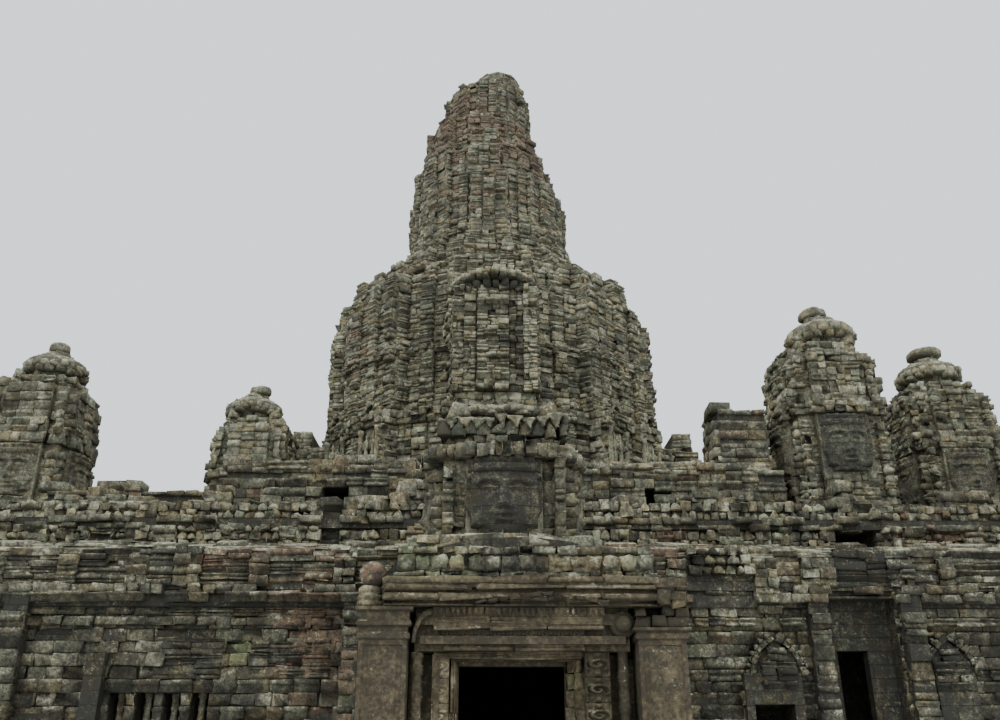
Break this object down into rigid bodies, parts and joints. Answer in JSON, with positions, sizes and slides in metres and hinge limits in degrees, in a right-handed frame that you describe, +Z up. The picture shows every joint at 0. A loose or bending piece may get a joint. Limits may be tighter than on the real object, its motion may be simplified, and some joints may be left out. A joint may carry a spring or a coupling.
{
  "type": "ruined stone temple, 1:2 scale model",
  "caption": "Ruined stone temple with a carved entrance hall, galleries round a solid terrace, face towers with lotus crowns and a tall round central tower",
  "frame": {"origin": "on the ground, under the axis of the central tower", "axes": "+Z up, front towards -Y, the entrance hall runs along -Y, +X to the right seen from the front"},
  "size_m": [25.65, 26.95, 21],
  "materials": {
    "paving": "worn grey sandstone paving",
    "dark_stone": "rough dark weathered sandstone",
    "red_stone": "rough reddish sandstone",
    "wall_stone": "rough grey sandstone with pale lichen",
    "roof_stone": "rough dark grey sandstone with lichen",
    "porch_stone": "carved warm brown sandstone",
    "tower_stone": "rough olive grey sandstone with pale lichen",
    "spire_stone": "rough grey and reddish sandstone"
  },
  "bodies": {
    "root": {"plinth": "paving", "terrace_core": "dark_stone", "front_wall_left": "red_stone", "front_wall_right": "wall_stone", "side_wall_left": "wall_stone", "side_wall_right": "wall_stone", "back_wall": "wall_stone", "front_roof_left": "roof_stone", "front_roof_right": "roof_stone", "back_roof": "roof_stone", "side_roof_left": "roof_stone", "side_roof_right": "roof_stone", "hall_wall_left": "wall_stone", "hall_wall_right": "wall_stone", "hall_roof": "roof_stone", "gopura_body": "dark_stone", "porch_pilaster_left": "porch_stone", "porch_pilaster_right": "porch_stone", "porch_colonnette_left": "porch_stone", "porch_colonnette_right": "porch_stone", "door_frame": "porch_stone", "carved_lintel": "porch_stone", "porch_entablature": "porch_stone", "porch_frieze": "wall_stone", "corner_knob": "red_stone", "gate_tower": "tower_stone", "front_right_tower": "tower_stone", "outer_right_tower": "tower_stone", "outer_left_tower": "tower_stone", "inner_left_tower": "tower_stone", "back_right_tower": "tower_stone", "back_left_tower": "tower_stone", "inner_gallery_left": "dark_stone", "inner_gallery_right": "dark_stone", "central_base": "tower_stone", "central_drum": "tower_stone", "central_shoulder": "tower_stone", "spire": "spire_stone", "summit_stone": "spire_stone", "front_chapel": "tower_stone", "right_chapel": "tower_stone", "back_chapel": "tower_stone", "left_chapel": "tower_stone"}
  },
  "joints": []
}
